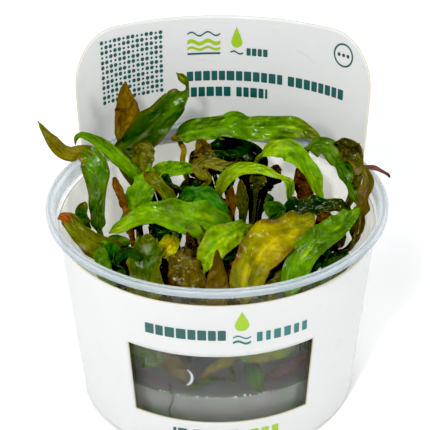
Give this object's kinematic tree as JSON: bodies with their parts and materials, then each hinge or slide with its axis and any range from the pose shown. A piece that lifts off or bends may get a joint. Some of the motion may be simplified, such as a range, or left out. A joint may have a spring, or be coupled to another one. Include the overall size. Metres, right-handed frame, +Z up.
{
  "type": "potted aquarium plant in a clear cup",
  "caption": "Broad-leaved tropical water plant growing from nutrient gel in a clear plastic cup, with a windowed card sleeve that rises behind it as a display panel.",
  "frame": {"origin": "centre of the cup's round foot, on the surface it stands on", "axes": "+Z up along the cup's axis; -Y towards the front with the sleeve's window; +X to the right seen from the front"},
  "size_m": [0.1017, 0.1051, 0.0937],
  "materials": {
    "clear_plastic": "clear polished, transparent",
    "printed_card": "smooth coated card, printed",
    "nutrient_gel": "wet translucent jelly",
    "crown_flesh": "rough rhizome",
    "leaf_bright": "wet fresh green leaf",
    "leaf_yellow": "wet yellow-green leaf",
    "leaf_green": "wet mid green leaf",
    "leaf_dark": "wet dark green leaf",
    "leaf_olive": "wet olive-brown leaf",
    "leaf_amber": "wet amber-brown leaf",
    "leaf_mauve": "thin mauve-brown leaf"
  },
  "bodies": {
    "root": {"card_sleeve": "printed_card", "crown_back": "crown_flesh", "crown_back_left": "crown_flesh", "crown_front": "crown_flesh", "crown_front_left": "crown_flesh", "crown_front_right": "crown_flesh", "crown_right": "crown_flesh", "cup": "clear_plastic", "leaf_amber_blade": "leaf_amber", "leaf_amber_tall": "leaf_amber", "leaf_amber_wall": "leaf_amber", "leaf_big_strap": "leaf_bright", "leaf_bright_steep": "leaf_bright", "leaf_broad_back": "leaf_green", "leaf_broad_front": "leaf_yellow", "leaf_brown_tip": "leaf_amber", "leaf_brown_under": "leaf_amber", "leaf_bud_left": "leaf_dark", "leaf_curl_right": "leaf_mauve", "leaf_curled_front": "leaf_bright", "leaf_dark_back": "leaf_dark", "leaf_dark_flat": "leaf_dark", "leaf_dark_front": "leaf_dark", "leaf_dark_green_mid": "leaf_green", "leaf_dark_mid": "leaf_dark", "leaf_dark_right": "leaf_dark", "leaf_green_front_left": "leaf_green", "leaf_green_low": "leaf_bright", "leaf_green_right": "leaf_green", "leaf_grey_under": "leaf_olive", "leaf_khaki": "leaf_olive", "leaf_left_strap": "leaf_bright", "leaf_left_wavy": "leaf_green", "leaf_long_back": "leaf_green", "leaf_low_bright": "leaf_bright", "leaf_low_green": "leaf_green", "leaf_low_mauve": "leaf_mauve", "leaf_low_olive": "leaf_olive", "leaf_olive_behind": "leaf_olive", "leaf_olive_blade": "leaf_olive", "leaf_olive_folded": "leaf_olive", "leaf_olive_glossy": "leaf_olive", "leaf_olive_tips": "leaf_olive", "leaf_pointing_down": "leaf_yellow", "leaf_ridge_front": "leaf_olive", "leaf_rim_left": "leaf_olive", "leaf_rolled": "leaf_yellow", "leaf_wet_dome": "leaf_olive", "leaf_wet_right": "leaf_green", "leaf_yellow_arch": "leaf_yellow", "leaf_yellow_strap": "leaf_yellow", "leaf_young_left": "leaf_amber", "nutrient_gel": "nutrient_gel"}
  },
  "joints": []
}
